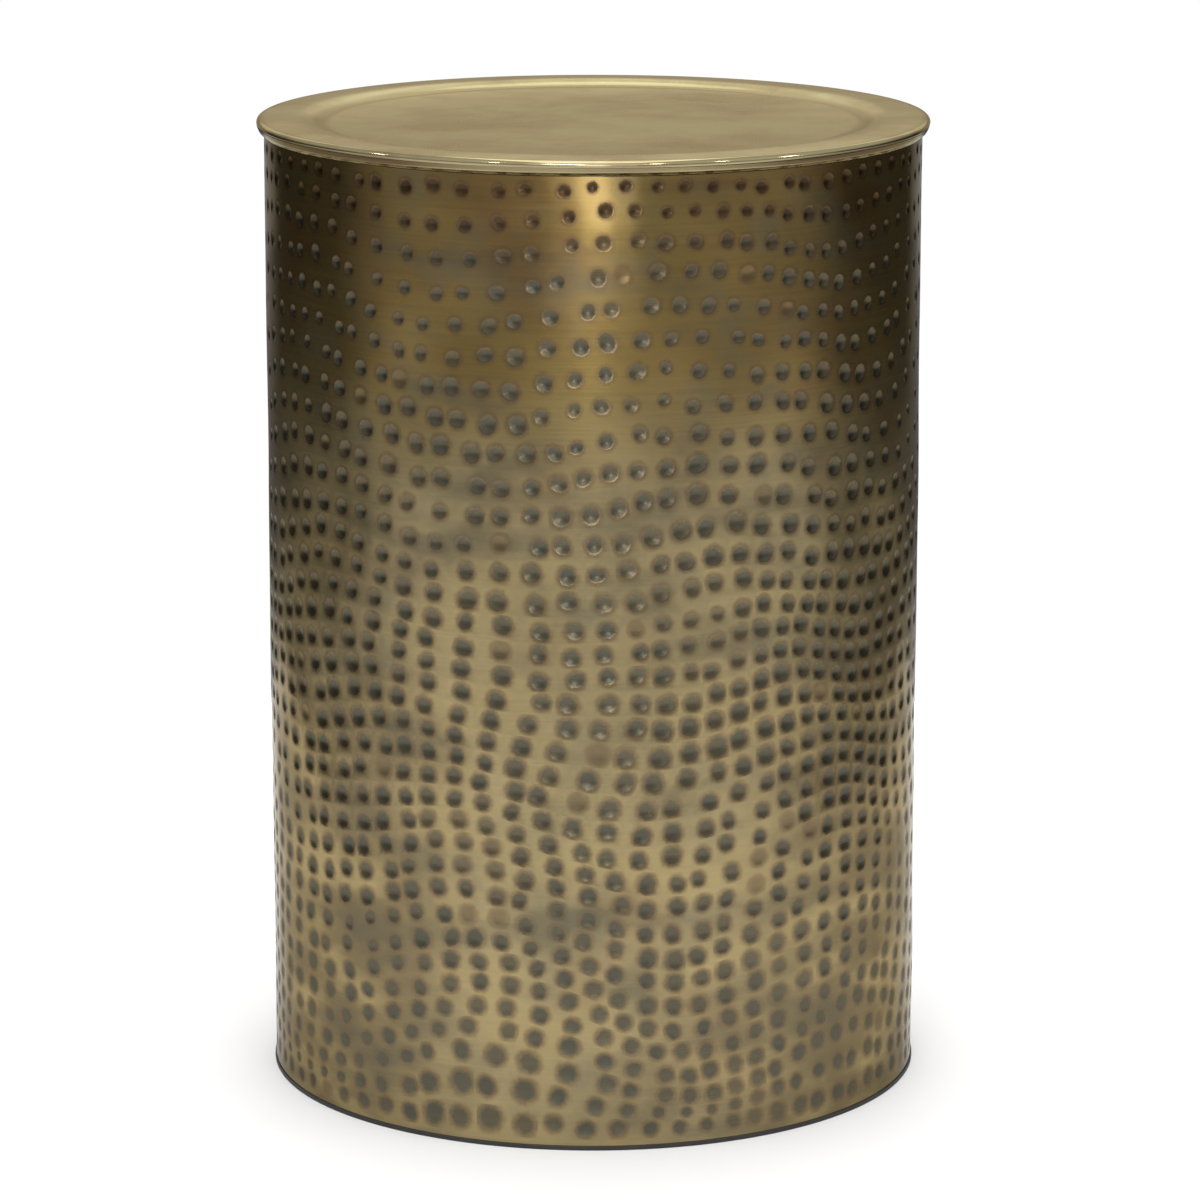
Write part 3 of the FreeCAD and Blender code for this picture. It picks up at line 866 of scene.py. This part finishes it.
def studio_room():
    """The room round the board: it looks white to the eye, and is a room of greys in reflections.

    Each ramp gives the grey by how steeply the reflected ray looks up or down (the sine of that angle, from
    -0.4 at 0 to 0.4 at 1): in front, where the light is; at the sides, which are screened off; and behind, a
    lit wall, whose middle is cream.
    """
    world = bpy.data.worlds.new("studio")
    bpy.context.scene.world = world
    world.use_nodes = True
    tree = world.node_tree
    tree.nodes.clear()
    way = add(tree, "ShaderNodeTexCoord").outputs["Generated"]
    parts = add(tree, "ShaderNodeSeparateXYZ", Vector=way)
    steep = add(tree, "ShaderNodeMapRange", Value=parts.outputs["Z"], From_Min=-0.4, From_Max=0.4).outputs[0]
    greys = []
    for stops in (ROOM_FRONT, ROOM_SIDES, ROOM_BEHIND):
        ramp = add(tree, "ShaderNodeValToRGB", Fac=steep)
        marks = ramp.color_ramp.elements
        while len(marks) < len(stops):
            marks.new(1.0)
        for mark, (position, grey, *cream) in zip(marks, stops):
            cream = sum(cream)
            mark.position = position
            mark.color = (grey, grey * (1 - 0.14 * cream), grey * (1 - 0.34 * cream), 1.0)
        greys.append(ramp.outputs[0])
    front, sides, behind = greys
    to_front = add(tree, "ShaderNodeMapRange", EASED, Value=parts.outputs["Y"],
                   From_Min=0.22, From_Max=-0.45).outputs[0]
    to_rear = add(tree, "ShaderNodeMapRange", EASED, Value=parts.outputs["Y"],
                  From_Min=0.78, From_Max=0.90).outputs[0]
    grey = add(tree, "ShaderNodeMix", MIX, Factor=to_front, _6=sides, _7=front).outputs[2]
    grey = add(tree, "ShaderNodeMix", MIX, Factor=to_rear, _6=grey, _7=behind).outputs[2]
    seen = add(tree, "ShaderNodeLightPath").outputs["Is Camera Ray"]
    shade = add(tree, "ShaderNodeMix", MIX, Factor=seen, _6=grey, _7=linear("#ffffff")).outputs[2]
    room = add(tree, "ShaderNodeBackground", Color=shade, Strength=1.0).outputs[0]
    add(tree, "ShaderNodeOutputWorld", Surface=room)


def softbox(name, place, aim, width, height, power):
    """An oblong white lamp of even brightness, which faces what it aims at."""
    light = bpy.data.lights.new(name, "AREA")
    light.shape = "RECTANGLE"
    light.size, light.size_y = width, height
    light.energy = power
    lamp = bpy.data.objects.new(name, light)
    lamp.location = place
    lamp.rotation_euler = (Vector(aim) - Vector(place)).to_track_quat("-Z", "Y").to_euler()
    bpy.context.scene.collection.objects.link(lamp)
    return lamp


def lamps():
    """Overhead light for the board and the tops, which isn't mirrored, and lamps that the brass mirrors.

    The ridge gives the bright field on the tray, the three in front the band of light down the drum, and the
    last ones the light and the glints on the rolled edge.
    """
    overhead = softbox("overhead", (0.0, 0.5, 2.4), (0.0, 0.5, 0.0), 3.4, 4.4, 84)
    overhead.visible_glossy = False
    softbox("ridge", (0.0, 0.6, 2.3), (0.0, 0.6, 0.0), 0.9, 3.6, 21)
    softbox("front", (0.0, -3.3, 0.36), (0.0, 0.0, 0.36), 0.6, 0.50, 3.2)
    softbox("front_wide", (0.0, -3.35, 0.36), (0.0, 0.0, 0.36), 1.7, 0.50, 4.4)
    softbox("front_tall", (0.0, -3.4, 1.50), (0.0, 0.0, 1.50), 0.5, 1.7, 2.0)
    softbox("above_camera", (0.0, -3.4, 1.85), TRAY, 2.8, 1.5, 12)
    for turn, width in STRIPS:
        a = math.radians(turn)
        place = (STRIP_R * math.sin(a), -STRIP_R * math.cos(a), STRIP_Z)
        softbox(f"strip_{turn}", place, TRAY, width, STRIP_HEIGHT, STRIP_POWER * width)


def camera():
    """A long lens in front of the table, a little above it and tilted down."""
    lens = bpy.data.cameras.new("camera")
    lens.sensor_width = SENSOR
    lens.lens = SENSOR * FOCAL_PX / FRAME_PX
    lens.clip_end = 50.0
    eye = bpy.data.objects.new("camera", lens)
    eye.location = EYE
    eye.rotation_euler = (math.radians(90 - EYE_DOWN), 0.0, EYE_ROLL)
    bpy.context.scene.collection.objects.link(eye)
    bpy.context.scene.camera = eye


camera()

sheet = hammered_sheet()
tray = spun_tray()
skirt = skirt_band()
edging = foot_edging()
pads = bumpers()

tray_brass = spun_antique_brass()
# Moulded rubber: nearly black and matt, a little uneven with dust in clouds of 17 mm
rubber = clouded("black rubber", "#1c1b1a", "#262423", 60.0, metallic=0.0, roughness=0.6)
sheet.data.materials.append(hammered_antique_brass())
tray.data.materials.append(tray_brass)
skirt.data.materials.append(tray_brass)
edging.data.materials.append(rubber)
pads.data.materials.append(clear_silicone())

# Rolled brass sheet and drawn brass bar, never polished: a dull gloss, browned by the air in clouds of 56
# and 33 mm. Pressed wood fibre, bare: matt, with a mottle of 11 mm.
dull_sheet = clouded("dulled brass sheet", "#a48a58", "#7f6740", 18.0, metallic=1.0, roughness=0.42)
dull_bar = clouded("dulled brass bar", "#9c8150", "#6f5733", 30.0, metallic=1.0, roughness=0.38)
fibreboard = clouded("fibreboard", "#a98a66", "#94765a", 90.0, metallic=0.0, roughness=0.8)
for node, material in {
    "top_hoop": dull_bar, "base_hoop": dull_bar, "rim_wire": dull_bar, "base_pan": dull_sheet,
    "seam_strip": dull_sheet, "locating_collar": dull_sheet, "tray_backer": fibreboard,
}.items():
    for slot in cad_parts[node].material_slots:
        slot.material = material

white_board()
lamps()
studio_room()
bpy.context.scene.view_settings.view_transform = "Standard"
